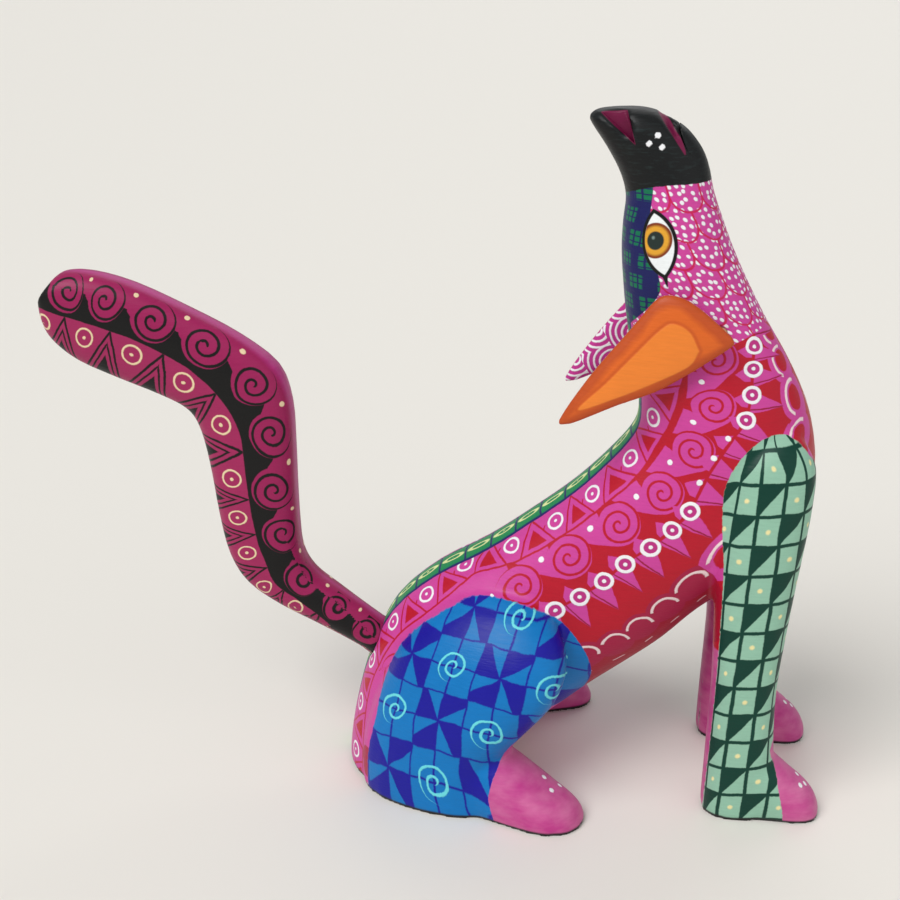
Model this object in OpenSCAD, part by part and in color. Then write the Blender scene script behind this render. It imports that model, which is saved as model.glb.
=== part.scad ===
// Carved wooden coyote, sitting and howling, with plugged-in ears and tail.
// It faces +X and stands on the plane z = 0. The whole figure is mirrored about y = 0.

/* [Body] */
// Height of the body carving, from its soles to the top of its muzzle
figure_h = 177; // [140:1:220]
// Width of the torso across the haunches
torso_w = 38; // [32:0.5:46]
// Distance between the outer edges of the hind feet
stance_w = 77; // [64:1:93]

/* [Legs] */
// Turn of each hind leg away from the middle plane, in degrees
splay = 18; // [14:1:22]
// Thickness of a haunch at the ground
haunch_t = 23; // [19:0.5:28]
// Width of a hind foot
hind_foot_w = 17; // [14:0.5:20]
// Distance between the middles of the front feet
front_stance = 36; // [30:0.5:43]
// Thickness of a front leg from its inner to its outer face
leg_t = 14; // [12:0.5:17]

/* [Muzzle] */
// Opening of the mouth at the end of the muzzle, on its sides
mouth_gap = 3.6; // [2.6:0.2:4.4]
// Opening of the mouth in the middle of the muzzle
mouth_slit = 1; // [0.6:0.1:1.6]
// Depth of the mouth cut, from the end of the muzzle
mouth_l = 10; // [8:0.5:12.5]
// Width of a nostril notch at the end of the muzzle
nostril_w = 5.5; // [4:0.25:6.5]
// Depth of a nostril notch, from the end of the muzzle
nostril_l = 9; // [7:0.5:11]

/* [Tail] */
// Reach of the tail, from its root to its tip along x
tail_l = 84.5; // [68:0.5:102]
// Rise of the tail, from its root to its highest point
tail_h = 99; // [80:1:119]
// Thickness of the tail from side to side
tail_t = 14; // [11:0.5:17]
// Diameter of the round root of the tail
tail_root_d = 10.6; // [9.6:0.2:12.8]
// Diameter of the tail's peg
tail_peg_d = 7; // [5.5:0.1:8.5]
// Length of the tail's peg
tail_peg_l = 14; // [11:0.5:17]

/* [Ears] */
// Length of an ear from its root to its tip
ear_l = 45; // [37:0.5:54]
// Greatest width of an ear
ear_w = 20; // [16:0.5:24]
// Greatest thickness of an ear
ear_t = 4.4; // [3.6:0.1:5.4]
// Slope of an ear below the horizontal, in degrees
ear_slope = 29; // [24:1:34]
// Diameter of an ear's peg
ear_peg_d = 4; // [3:0.1:4.8]
// Length of an ear's peg inside the head
ear_peg_l = 8; // [6:0.5:9]

/* [Fits] */
// Radial clearance of a peg in its socket
peg_fit = 0.05; // [0.03:0.01:0.1]
// Spare depth of a socket below the end of its peg
socket_spare = 1; // [0.5:0.25:2]
// Clearance between the tail's root and the seat cut for it
seat_gap = 0.3; // [0.2:0.05:0.5]
// Clearance between an ear and the side of the neck
ear_gap = 0.5; // [0.3:0.1:1]

/* [Hidden] */

// The outlines are drawn on a figure this high, and are scaled to figure_h
drawn_h = 177;
k = figure_h / drawn_h;

// Rings per stretch between two stations, and points round a ring
torso_steps = 3;
torso_sides = 40;
limb_steps = 2;
limb_sides = 24;
tail_steps = 3;
tail_sides = 24;
bore_fn = 64;

// A station is [x1, z1, x2, z2, y, half, n]: a section whose ends are (x1, z1) and (x2, z2) in the
// plane at y, with this half thickness across that plane and a superellipse exponent n. Seen from
// -y, the first end is on the left of someone who walks from the first station to the last.

// Torso, neck and head: the first end runs up the back, the second up the belly and the throat.
// The half thickness is a share of the torso's half width.
torso_drawn = [
    [-28.5, -3, 2, -3, 0, 1.05, 2.3],
    [-28, 6, 6, 2, 0, 1.12, 2.3],
    [-26, 18, 13, 8, 0, 1.15, 2.3],
    [-22.5, 31, 22, 14, 0, 1.12, 2.3],
    [-16, 45, 30, 20, 0, 1.05, 2.3],
    [-5, 55.5, 38, 27, 0, 0.97, 2.4],
    [8, 63.5, 47, 34, 0, 0.92, 2.4],
    [20, 72.5, 56, 41.5, 0, 0.91, 2.4],
    [31, 81.5, 64.5, 50.5, 0, 0.93, 2.4],
    [40, 91, 75, 59, 0, 0.94, 2.4],
    [45.5, 99, 87, 70, 0, 0.90, 2.3],
    [46.2, 106, 90.7, 88, 0, 0.83, 2.2],
    [44.6, 114, 88.5, 103, 0, 0.74, 2.2],
    [43.2, 121, 83, 115.5, 0, 0.67, 2.2],
    [42, 128, 76, 127, 0, 0.63, 2.2],
    [41, 136, 70.5, 137, 0, 0.61, 2.2],
    [40.3, 144, 66.6, 145, 0, 0.57, 2.2],
    [40.4, 151, 63.7, 152, 0, 0.51, 2.2],
    [40.8, 156.5, 61.4, 158, 0, 0.45, 2.2],
    [39.2, 162, 60.2, 163, 0, 0.41, 2.2],
    [35.8, 168, 58.4, 167.5, 0, 0.38, 2.3],
    [32.3, 173, 55, 171.8, 0, 0.35, 2.4],
    [31.4, 175, 51.5, 174.3, 0, 0.31, 2.4],
    [33.5, 176.4, 48.5, 176, 0, 0.24, 2.4],
    [37, 177, 45, 177, 0, 0.12, 2.2]
];

// Hind leg, drawn along x from its hip, with y growing outwards; turned by splay afterwards.
// The half thickness is a share of the haunch's or of the foot's half width.
hip_x = -26;
hind_mid = 5.5;
// Way from the hip to the broad end of the hind foot, which is the widest place of the figure
hind_foot_reach = 62;
haunch_drawn = [
    [6, -3, 46, -3, 0, 1, 2.3],
    [6, 8, 45, 8, 0, 1, 2.3],
    [7, 16, 46.5, 16, -0.3, 0.98, 2.3],
    [9, 24, 52, 24, -1, 0.97, 2.3],
    [12, 32, 58, 32, -2.2, 0.95, 2.3],
    [15.5, 40, 60.5, 40, -3.8, 0.90, 2.3],
    [20.5, 47, 59, 47, -6, 0.80, 2.2],
    [27, 53, 54, 53, -9, 0.62, 2.2],
    [34, 56.5, 47, 56.5, -11.5, 0.34, 2.1]
];
hind_foot_drawn = [
    [36, 21, 36, -5, 0, 0.96, 2.4],
    [45, 17.5, 45, -5, 0, 1, 2.4],
    [52, 13.5, 52, -5, 0, 1, 2.4],
    [58, 9.8, 58, -5, 0, 0.98, 2.3],
    [62.5, 7.2, 62.5, -5, -0.5, 0.86, 2.2],
    [65.8, 4.6, 65.8, -4, -1, 0.62, 2.1],
    [67.5, 1.5, 67.5, -3, -1.2, 0.28, 2]
];

// Front leg: y is the distance inwards from the middle of the foot
front_leg_drawn = [
    [67, -3, 85.5, -3, 0, 1, 2.3],
    [67.2, 10, 85.5, 10, 0, 1, 2.5],
    [67.5, 22, 84.5, 22, -0.6, 0.97, 2.6],
    [67.8, 36, 84.3, 36, -1.5, 1, 2.6],
    [67.5, 50, 85.5, 50, -2.5, 1.03, 2.6],
    [67, 64, 87, 64, -3.5, 1.07, 2.6],
    [67, 76, 88.5, 76, -4.5, 1.07, 2.6],
    [68, 86, 89.5, 86, -5.5, 1.03, 2.5],
    [70, 94, 89.5, 94, -6.5, 0.93, 2.4],
    [74, 99, 87, 99, -7.5, 0.70, 2.2],
    [78, 102, 84, 102, -8.5, 0.35, 2.1]
];
front_foot_drawn = [
    [76, 23, 76, -5, 0, 0.95, 2.5],
    [84, 17, 84, -5, 0, 1, 2.4],
    [89.5, 12, 89.5, -5, 0, 1, 2.3],
    [93.5, 8.6, 93.5, -5, 0, 0.93, 2.2],
    [96.2, 5.3, 96.2, -4, 0, 0.68, 2.1],
    [97.5, 2, 97.5, -3, 0, 0.28, 2]
];

// Tail, drawn from the middle of its root: the first end is its lower edge, the second its upper.
// Its half thickness is a share of the way from the round root to the full thickness.
tail_drawn = [
    [-9.3, -0.6, -3.5, 9.0, 0, 0.15, 2],
    [-17, 3.8, -9.7, 13.4, 0, 0.5, 2.3],
    [-26, 8.8, -16, 18.2, 0, 0.8, 2.6],
    [-34.3, 15, -19.1, 24, 0, 0.95, 2.8],
    [-38.8, 23, -19.8, 32, 0, 1, 2.8],
    [-41, 34, -20, 43, 0, 1, 2.8],
    [-42.7, 48, -20, 55, 0, 1, 2.8],
    [-44.7, 58, -20.4, 66, 0, 1, 2.8],
    [-47.8, 63.5, -23.6, 75.6, 0, 1, 2.8],
    [-55, 67.2, -33.5, 83.3, 0, 1, 2.8],
    [-65.3, 71.1, -46, 89.8, 0, 1, 2.8],
    [-75.8, 75.6, -60, 96, 0, 1, 2.8],
    [-82.3, 81, -71, 98.8, 0, 0.92, 2.6],
    [-84.3, 86, -78.5, 98.4, 0, 0.7, 2.4],
    [-84.5, 91, -82, 95, 0, 0.3, 2.1]
];
// Reach and rise of the tail as drawn
tail_drawn_l = 84.5;
tail_drawn_h = 99;

// Ear, drawn flat: x runs from root to tip as a share of its length, and z is a share of its width
ear_drawn = [
    [-0.022, 0.06, -0.022, -0.03, 0, 0.35, 2.2],
    [0.03, 0.38, 0.03, -0.06, 0, 0.75, 2.2],
    [0.09, 0.66, 0.09, -0.08, 0, 0.95, 2.2],
    [0.16, 0.82, 0.16, -0.10, 0, 1, 2.2],
    [0.23, 0.86, 0.23, -0.12, 0, 1, 2.2],
    [0.34, 0.76, 0.34, -0.14, 0, 1, 2.2],
    [0.47, 0.63, 0.47, -0.15, 0, 0.96, 2.2],
    [0.67, 0.44, 0.67, -0.10, 0, 0.88, 2.2],
    [0.83, 0.26, 0.83, -0.08, 0, 0.76, 2.2],
    [0.94, 0.12, 0.94, -0.06, 0, 0.58, 2.2],
    [1.0, 0.03, 1.0, -0.01, 0, 0.22, 2.2]
];

// Where the tail's root meets the back, and how far its seat goes below that point
tail_root = [-21.5, 0, 34.7];
tail_root_slope = 35;
tail_seat = 3;
// How far the carved tail stands back from the edge of its turned root
root_step = 0.15;

// Root of the ears, and the shares of the torso's half width that the neck and the head have there
ear_root = [66.6, 0, 125.5];
ear_neck = 0.70;
ear_head = 0.60;
// Lean of the upper edge of an ear towards the head
ear_lean = 7;
// Place of an ear's peg as shares of its length and width, and its turn into the head
ear_peg_u = 0.17;
ear_peg_v = 0.08;
ear_peg_turn = 45;

// Mouth cut: where its floor lies this far out, and the lean of its upper side from the vertical
mouth_end = [54.9, 0, 166.1];
mouth_side = 9;
mouth_lean = 36;
// Rise of the mouth's floor from mouth_side to the middle, and how much wider the cut is out there
// than at the sides of the muzzle
mouth_rise = 4;
mouth_flare = 1.3;
// Thickness of the slices the mouth cut is stretched between
slice_t = 0.2;
// Nostril cuts: where each ends, its lean from the vertical, and the wood left inside of it
nostril_end = [42.4, 0, 169.7];
nostril_lean = 34;
nostril_inner = 3;
// How far the cuts run on past the end of the muzzle
cut_over = 3;
// Depth of the block that cuts the soles flat
floor_t = 20;

// Placing: the figure is centred on its own box
front_x = last(front_foot_drawn)[0] * k;
back_x = tail_root.x * k - tail_l;
shift_x = -(front_x + back_x) / 2;

hip_y = stance_w / 2 - hind_foot_reach * k * sin(splay) - (hind_mid + hind_foot_w / 2) * cos(splay);
ear_y = ear_neck * torso_w / 2 + ear_gap + ear_t / 2;
// Way along the peg from the middle of the ear to the side of the head
ear_stub = (ear_y - ear_head * torso_w / 2) / sin(ear_peg_turn);

function power(v, p) = sign(v) * pow(abs(v), p);

function spline(a, b, c, d, t) =
    (2 * b + (c - a) * t + (2 * a - 5 * b + 4 * c - d) * t * t + (3 * b - a - 3 * c + d) * t * t * t) / 2;

function last(list) = list[len(list) - 1];

function refine(s, steps) = [
    for (i = [0 : len(s) - 2], j = [0 : steps - 1])
        spline(s[max(i - 1, 0)], s[i], s[i + 1], s[min(i + 2, len(s) - 1)], j / steps),
    last(s)
];

function ring(s, sides) = [
    for (i = [0 : sides - 1])
        let (a = 360 * i / sides, c = power(cos(a), 2 / s[6]), q = power(sin(a), 2 / s[6]))
            [(s[0] + s[2]) / 2 + (s[2] - s[0]) / 2 * c, s[4] + s[5] * q, (s[1] + s[3]) / 2 + (s[3] - s[1]) / 2 * c]
];

// Outline ends times (sx, sz), and the thickness column times half, plus a place across
function scaled(s, sx, sz, half, y = 0) = [
    for (r = s) [r[0] * sx, r[1] * sz, r[2] * sx, r[3] * sz, r[4] + y, r[5] * half, r[6]]
];

module loft(stations, steps, sides) {
    rows = refine(stations, steps);
    last_row = (len(rows) - 1) * sides;
    points = [for (r = rows) each ring(r, sides)];
    walls = [
        for (i = [0 : len(rows) - 2], j = [0 : sides - 1])
            let (a = i * sides + j, b = i * sides + (j + 1) % sides)
                each [[b, a, a + sides], [b + sides, b, a + sides]]
    ];
    bottom = [for (j = [0 : sides - 1]) j];
    top = [for (j = [sides - 1 : -1 : 0]) last_row + j];
    polyhedron(points = points, faces = concat(walls, [bottom, top]), convexity = 6);
}

module torso() {
    loft(scaled(torso_drawn, k, k, torso_w / 2), torso_steps, torso_sides);
}

module hind_leg() {
    translate([hip_x * k, hip_y, 0])
        rotate([0, 0, splay]) {
            loft(scaled(haunch_drawn, k, k, haunch_t / 2, hind_mid), limb_steps, limb_sides);
            loft(scaled(hind_foot_drawn, k, k, hind_foot_w / 2, hind_mid), limb_steps, limb_sides);
        }
}

module front_leg() {
    loft(scaled(front_leg_drawn, k, k, leg_t / 2, front_stance / 2), limb_steps, limb_sides);
    loft(scaled(front_foot_drawn, k, k, leg_t / 2, front_stance / 2), limb_steps, limb_sides);
}

// A wedge with its thin edge at the origin, and this width at this length up z. The share of the
// width goes towards -x.
module wedge(width, length, across, share = 0.5) {
    end_l = length + cut_over;
    end_w = width * end_l / length;
    rotate([90, 0, 0])
        linear_extrude(across, center = true)
            polygon([[0, 0], [end_w * (1 - share), end_l], [-end_w * share, end_l]]);
}

module muzzle_cuts() {
    translate(mouth_end * k)
        rotate([0, -mouth_lean, 0])
            for (side = [-1, 1])
                hull() {
                    translate([0, side * mouth_side, 0])
                        wedge(mouth_gap * mouth_flare, mouth_l, slice_t, 0);
                    translate([0, 0, mouth_rise])
                        wedge(mouth_slit, mouth_l, slice_t, 0);
                }
    for (side = [-1, 1])
        translate(nostril_end * k + [0, side * torso_w / 4, 0])
            rotate([0, -nostril_lean, 0])
                wedge(nostril_w, nostril_l, torso_w / 2 - 2 * nostril_inner);
}

// The carving before its sockets are drilled, brought to its finished width
module carving() {
    resize([0, stance_w, 0])
        difference() {
            union() {
                torso();
                for (side = [0, 1])
                    mirror([0, side, 0]) {
                        hind_leg();
                        front_leg();
                    }
            }
            muzzle_cuts();
            translate([-figure_h, -stance_w, -floor_t])
                cube([2 * figure_h, 2 * stance_w, floor_t]);
        }
}

// The tail's own frame: its peg runs down from the origin
module at_tail_root() {
    translate(tail_root * k)
        rotate([0, -90 + tail_root_slope, 0])
            children();
}

// An ear's own frame, for the ear on the +y side when side is 1
module at_ear_root(side) {
    translate([ear_root.x * k, side * ear_y, ear_root.z * k])
        rotate([0, 180 - ear_slope, 0])
            mirror([0, 0, 1])
                rotate([side * ear_lean, 0, 0])
                    children();
}

// The frame of an ear's peg: z runs into the head
module at_ear_peg(side) {
    translate([ear_root.x * k, side * ear_y, ear_root.z * k])
        rotate([0, -ear_slope, 0])
            translate([-ear_peg_u * ear_l, 0, ear_peg_v * ear_w])
                rotate([0, 0, -side * ear_peg_turn])
                    rotate([0, 90, 0])
                        children();
}

module body() {
    color("mediumvioletred")
        translate([shift_x, 0, 0])
            difference() {
                carving();
                at_tail_root() {
                    translate([0, 0, -tail_seat])
                        cylinder(d = tail_root_d + 2 * seat_gap, h = 4 * tail_seat, $fn = bore_fn);
                    translate([0, 0, -tail_seat - tail_peg_l - socket_spare])
                        cylinder(d = tail_peg_d + 2 * peg_fit, h = tail_peg_l + 2 * socket_spare, $fn = bore_fn);
                }
                for (side = [-1, 1])
                    at_ear_peg(side)
                        cylinder(d = ear_peg_d + 2 * peg_fit, h = ear_stub + ear_peg_l + socket_spare, $fn = bore_fn);
            }
}

module ear(side) {
    translate([shift_x, 0, 0]) {
        at_ear_root(side)
            loft(scaled(ear_drawn, ear_l, ear_w, ear_t / 2), limb_steps, limb_sides);
        at_ear_peg(side)
            cylinder(d = ear_peg_d, h = ear_stub + ear_peg_l, $fn = bore_fn);
    }
}

module left_ear() {
    color("chocolate") ear(1);
}

module right_ear() {
    color("chocolate") ear(-1);
}

// A round section of the tail's root, this far out of the body along the root's axis
function root_section(along, r) =
    let (c = cos(tail_root_slope), q = sin(tail_root_slope))
        [-along * c - r * q, along * q - r * c, -along * c + r * q, along * q + r * c, 0, r, 2];

function tail_outline() =
    let (
        sx = tail_l / tail_drawn_l,
        sz = tail_h / tail_drawn_h,
        root_r = tail_root_d / 2 - root_step,
        swell = tail_t / 2 - root_r
    )
    concat(
        [root_section(-tail_seat / 2, root_r), root_section(root_step, root_r)],
        [for (r = tail_drawn) [r[0] * sx, r[1] * sz, r[2] * sx, r[3] * sz, 0, root_r + r[5] * swell, r[6]]]
    );

module tail() {
    color("indigo")
        translate([shift_x, 0, 0]) {
            translate(tail_root * k)
                loft(tail_outline(), tail_steps, tail_sides);
            at_tail_root()
                translate([0, 0, -tail_seat]) {
                    cylinder(d = tail_root_d, h = tail_seat, $fn = bore_fn);
                    translate([0, 0, -tail_peg_l])
                        cylinder(d = tail_peg_d, h = tail_peg_l + tail_seat / 3, $fn = bore_fn);
                }
        }
}

body();
left_ear();
right_ear();
tail();
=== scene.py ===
"""Carved and painted wooden coyote: smooth carved skins over the CAD pieces, with hand-painted patterns."""
import math

import bpy
import numpy as np
from bpy.props import FloatProperty, IntProperty, PointerProperty
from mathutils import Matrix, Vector
from mathutils.bvhtree import BVHTree


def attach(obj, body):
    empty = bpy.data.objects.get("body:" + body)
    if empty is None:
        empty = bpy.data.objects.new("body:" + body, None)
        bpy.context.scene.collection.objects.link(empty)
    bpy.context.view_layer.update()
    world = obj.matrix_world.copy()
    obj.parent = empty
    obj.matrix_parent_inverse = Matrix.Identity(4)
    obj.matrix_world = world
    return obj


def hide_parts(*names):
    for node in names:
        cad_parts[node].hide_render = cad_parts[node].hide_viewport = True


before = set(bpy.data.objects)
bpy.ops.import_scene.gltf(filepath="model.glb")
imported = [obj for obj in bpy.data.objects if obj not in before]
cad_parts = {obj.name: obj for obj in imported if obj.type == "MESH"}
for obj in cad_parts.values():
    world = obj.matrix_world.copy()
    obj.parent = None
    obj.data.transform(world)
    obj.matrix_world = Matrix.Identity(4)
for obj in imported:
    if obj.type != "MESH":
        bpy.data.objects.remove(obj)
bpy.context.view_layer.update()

bl_info = {
    "name": "Painted coyote",
    "version": (1, 0, 0),
    "blender": (4, 5, 0),
    "location": "3D View > Sidebar > Coyote",
    "description": "Builds the carved and painted coyote round its CAD pieces",
    "category": "Object",
}

MM = 0.001
# The joints of the figure: socket of the tail and of the ears, in mm
TAIL_ROOT, TAIL_AXIS = Vector((-17.25, 0, 34.7)), Vector((-0.8192, 0, 0.5736))
EAR_ROOT, EAR_AXIS = Vector((70.85, 16, 125.5)), Vector((-0.6184, 0.7071, -0.3428))
EAR_PEG = Vector((63.385, 16, 123.19))
# Radius and depth of the sockets, and the tail's round seat: its radius, how deep it starts and its length, in mm
EAR_SOCKET_R, EAR_SOCKET_L = 2.05, 15.3
TAIL_SOCKET_R, TAIL_SOCKET_L = 3.55, 18
TAIL_SEAT_R, TAIL_SEAT_IN, TAIL_SEAT_L = 5.6, 3, 12
# Mouth and nostrils: where their cuts end, in mm, their lean in degrees, and how far they run past the muzzle
MOUTH, MOUTH_LEAN, MOUTH_RISE, MOUTH_SIDE = (59.15, 166.1), 36, 4, 9
MOUTH_W, SLIT_W, MOUTH_L = 4.68, 1.0, 10
NOSTRIL, NOSTRIL_LEAN, NOSTRIL_W, NOSTRIL_L = (46.65, 169.7), 34, 5.5, 9
NOSTRIL_IN, NOSTRIL_OUT = 3, 16
CUT_OVER, MIDDLE_OVER = 3, 0.1
# Half the width of the torso, in mm
FLANK = 19
# Length of one step of each painted row, in mm
PITCH = {"spine": 8.0, "upper": 12.9, "middle": 13.8, "lower": 7.0, "belly": 7.2, "scroll": 13.8, "fields": 13.2}
# A distance in mm that counts as far from any painted border
FAR = 9.0
# The camera: what it looks at in mm, its distance in m, its height and turn in degrees, its lens and sensor in mm
TARGET, DISTANCE, CAMERA_UP, CAMERA_AROUND = Vector((4.25, -9.5, 93)), 0.375, 22, 6.8
LENS, SENSOR = 60, 36


# ---- colours
def rgb(r, g, b):
    """A display colour in 0 to 255 as a linear colour."""
    line = [c / 255 / 12.92 if c < 11 else ((c / 255 + 0.055) / 1.055) ** 2.4 for c in (r, g, b)]
    return (*line, 1.0)


PINK, RED, DARK_RED = rgb(200, 66, 150), rgb(180, 18, 40), rgb(146, 14, 46)
WHITE, CREAM, BLACK = rgb(238, 238, 240), rgb(232, 208, 168), rgb(12, 12, 12)
NAVY, GREEN, PALE_GREEN = rgb(25, 28, 95), rgb(4, 132, 74), rgb(222, 232, 160)
BLUE, ULTRA, CYAN = rgb(0, 114, 184), rgb(18, 14, 146), rgb(105, 214, 220)
MINT, DEEP_GREEN = rgb(142, 186, 162), rgb(0, 56, 44)
ORANGE, DEEP_ORANGE, PALE_ORANGE = rgb(216, 100, 34), rgb(188, 78, 30), rgb(232, 128, 48)
# the second magenta is a painted highlight, a lighter tone for the lit top edge of the tail
MAGENTA, HIGHLIGHT_MAGENTA = rgb(152, 26, 84), rgb(176, 46, 122)
WOOD, DARK_WOOD = rgb(214, 176, 126), rgb(176, 134, 88)
RING_PINK, SCALE_RED, PLAIN_PINK, WORN_PINK = rgb(184, 46, 126), rgb(196, 30, 82), rgb(186, 58, 132), rgb(216, 128, 168)
BELLY_RED, SCALLOP_RED = rgb(160, 16, 44), rgb(164, 24, 66)
ARCH_WHITE, DASH_PINK = rgb(236, 215, 215), rgb(226, 190, 196)
FACE_NAVY, PLAID_GREEN, LEG_CREAM = rgb(22, 26, 88), rgb(8, 112, 76), rgb(232, 220, 160)
EYE_WHITE, IRIS_RIM, IRIS = rgb(236, 240, 240), rgb(128, 56, 22), rgb(222, 160, 48)
PUPIL, GLINT = rgb(34, 46, 42), rgb(120, 140, 135)
MUZZLE_BLACK, MUZZLE_STREAK, CUT_RED, SOLE_BLACK = rgb(14, 16, 17), rgb(40, 54, 54), rgb(112, 16, 62), rgb(24, 20, 22)
TAIL_BLACK, FIELD_MAGENTA = rgb(12, 11, 11), rgb(158, 36, 88)
EAR_PINK, FLOOR_PALE = rgb(190, 50, 140), rgb(232, 228, 220)


# ---- guides on the surface
def smooth_line(points, steps):
    """Points and their parameter on a smooth line through the given points, in steps per stretch."""
    p = np.array(points, float)
    ends = np.vstack([2 * p[0] - p[1], p, 2 * p[-1] - p[-2]])
    out, at = [], []
    for i in range(len(p) - 1):
        a, b, c, d = ends[i : i + 4]
        for t in np.linspace(0, 1, steps, endpoint=False):
            bend, twist = 2 * a - 5 * b + 4 * c - d, 3 * b - a - 3 * c + d
            out.append((2 * b + (c - a) * t + bend * t**2 + twist * t**3) / 2)
            at.append(i + t)
    return np.array(out + [p[-1]]), np.array(at + [len(p) - 1.0])


def row_on_surface(points, skin, flat_y=None):
    """A painted row's middle line: points (x, z) in mm, laid on the side of the skin, or in a plane."""
    line, at = smooth_line(points, 30)
    places = []
    for x, z in line:
        y = flat_y
        if y is None:
            hit = skin.ray_cast(Vector((x, 80, z)), Vector((0, -1, 0)))[0]
            # the rows run on behind the haunch, which stands out further than the flank
            y = min(hit.y, FLANK) if hit else (places[-1][1] if places else 8)
        places.append((x, y, z))
    places = np.array(places)
    if flat_y is None:
        for _ in range(12):
            places[1:-1, 1] = (places[:-2, 1] + places[1:-1, 1] + places[2:, 1]) / 3
    return places, at


def along_row(q, places, at, pitch):
    """For each vertex: steps along the row, and mm across it, positive above a row that runs to +x."""
    q = q.astype(np.float32)
    g = places.astype(np.float32)
    near = np.empty(len(q), int)
    for i in range(0, len(q), 8000):
        part = q[i : i + 8000]
        near[i : i + 8000] = ((part**2).sum(1)[:, None] - 2 * part @ g.T + (g**2).sum(1)[None]).argmin(1)
    tangent = np.gradient(places, axis=0)
    tangent /= np.linalg.norm(tangent, axis=1)[:, None]
    gap = q - places[near]
    t = tangent[near]
    ahead = (gap * t).sum(1)
    away = np.sqrt(np.maximum((gap**2).sum(1) - ahead**2, 0))
    side = np.where(gap[:, 2] * t[:, 0] - gap[:, 0] * t[:, 2] >= 0, 1.0, -1.0)
    return at[near] + ahead / pitch, away * side


def outline_gap(points, x, z):
    """Signed distance in mm from a smooth closed outline in the side view, negative inside."""
    line, _ = smooth_line(list(points) + [points[0]], 8)
    a, b = line[:-1], line[1:]
    best = np.full(len(x), 1e9)
    inside = np.zeros(len(x), bool)
    for (ax, az), (bx, bz) in zip(a, b):
        ex, ez = bx - ax, bz - az
        t = np.clip(((x - ax) * ex + (z - az) * ez) / (ex * ex + ez * ez + 1e-9), 0, 1)
        best = np.minimum(best, np.hypot(x - ax - t * ex, z - az - t * ez))
        crossing = (az > z) != (bz > z)
        inside ^= crossing & (x < ax + (z - az) * ex / (ez if abs(ez) > 1e-9 else 1e-9))
    return np.where(inside, -best, best)


# ---- making pieces
def only(obj):
    bpy.ops.object.select_all(action="DESELECT")
    obj.select_set(True)
    bpy.context.view_layer.objects.active = obj


def apply_modifier(obj, kind, **values):
    only(obj)
    mod = obj.modifiers.new(kind.lower(), kind)
    for key, value in values.items():
        setattr(mod, key, value)
    bpy.ops.object.modifier_apply(modifier=mod.name)


def edit_mesh(obj, action, **values):
    """Runs one edit mode operator on all of a mesh."""
    only(obj)
    bpy.ops.object.mode_set(mode="EDIT")
    bpy.ops.mesh.select_all(action="SELECT")
    action(**values)
    bpy.ops.object.mode_set(mode="OBJECT")


def copy_node(node, name):
    """A welded copy of a CAD node, at the origin."""
    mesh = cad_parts[node].data.copy()
    mesh.materials.clear()
    obj = bpy.data.objects.new(name, mesh)
    bpy.context.scene.collection.objects.link(obj)
    edit_mesh(obj, bpy.ops.mesh.remove_doubles, threshold=1e-6)
    return obj


def carve(obj, voxel, rounds, hold=None, sole=False):
    """Softens the facets and creases of a copied node. hold(points in mm) says which vertices stay put."""
    apply_modifier(obj, "REMESH", mode="VOXEL", voxel_size=voxel * MM, use_smooth_shade=True)
    co = points_of(obj)
    group = obj.vertex_groups.new(name="soft")
    moved = np.ones(len(co), bool) if hold is None else ~hold(co)
    group.add([int(i) for i in np.flatnonzero(moved)], 1.0, "REPLACE")
    apply_modifier(obj, "SMOOTH", factor=0.5, iterations=rounds, vertex_group="soft")
    obj.vertex_groups.clear()
    if sole:
        flat = co[:, 2] < 0.3
        co = points_of(obj)
        co[flat, 2] = 0
        obj.data.vertices.foreach_set("co", (np.maximum(co, (-1e3, -1e3, 0)) * MM).ravel())


def points_of(obj):
    co = np.empty(len(obj.data.vertices) * 3, np.float32)
    obj.data.vertices.foreach_get("co", co)
    return co.reshape(-1, 3) / MM


def normals_of(obj):
    no = np.empty(len(obj.data.vertices) * 3, np.float32)
    obj.data.vertex_normals.foreach_get("vector", no)
    return no.reshape(-1, 3)


def cut(obj, cutter, operation="DIFFERENCE"):
    apply_modifier(obj, "BOOLEAN", operation=operation, solver="MANIFOLD", object=cutter)
    bpy.data.objects.remove(cutter)


def rod(start, axis, radius, length):
    """A cylinder from start along axis, in mm."""
    middle = (Vector(start) + Vector(axis) * (length / 2)) * MM
    turn = Vector(axis).to_track_quat("Z", "Y").to_euler()
    bpy.ops.mesh.primitive_cylinder_add(
        vertices=64, radius=radius * MM, depth=length * MM, location=middle, rotation=turn)
    obj = bpy.context.object
    bpy.ops.object.transform_apply(location=True, rotation=True, scale=True)
    return obj


def slice_of(apex, lean, low, high, length, y):
    """One end of a V-shaped cut, at y: it opens from apex to low and high across, at length up its lean."""
    c, s = math.cos(math.radians(lean)), math.sin(math.radians(lean))
    far = length + CUT_OVER
    corners = ((0, 0), (high * far / length, far), (low * far / length, far))
    return [((apex[0] + a * c - h * s) * MM, y * MM, (apex[1] + a * s + h * c) * MM) for a, h in corners]


def cutter(first, second):
    """A solid between two such ends."""
    faces = [(0, 1, 2), (3, 5, 4), (0, 3, 4, 1), (1, 4, 5, 2), (2, 5, 3, 0)]
    mesh = bpy.data.meshes.new("cutter")
    mesh.from_pydata(first + second, [], faces)
    obj = bpy.data.objects.new("cutter", mesh)
    bpy.context.scene.collection.objects.link(obj)
    edit_mesh(obj, bpy.ops.mesh.normals_make_consistent, inside=False)
    return obj


def store(obj, name, a, b=None, c=None):
    """A painted coordinate, kept on the vertices for the materials to read."""
    values = np.zeros((len(obj.data.vertices), 3), np.float32)
    for i, v in enumerate((a, b, c)):
        if v is not None:
            values[:, i] = v
    layer = obj.data.attributes.new(name, "FLOAT_VECTOR", "POINT")
    layer.data.foreach_set("vector", values.ravel())


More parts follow.
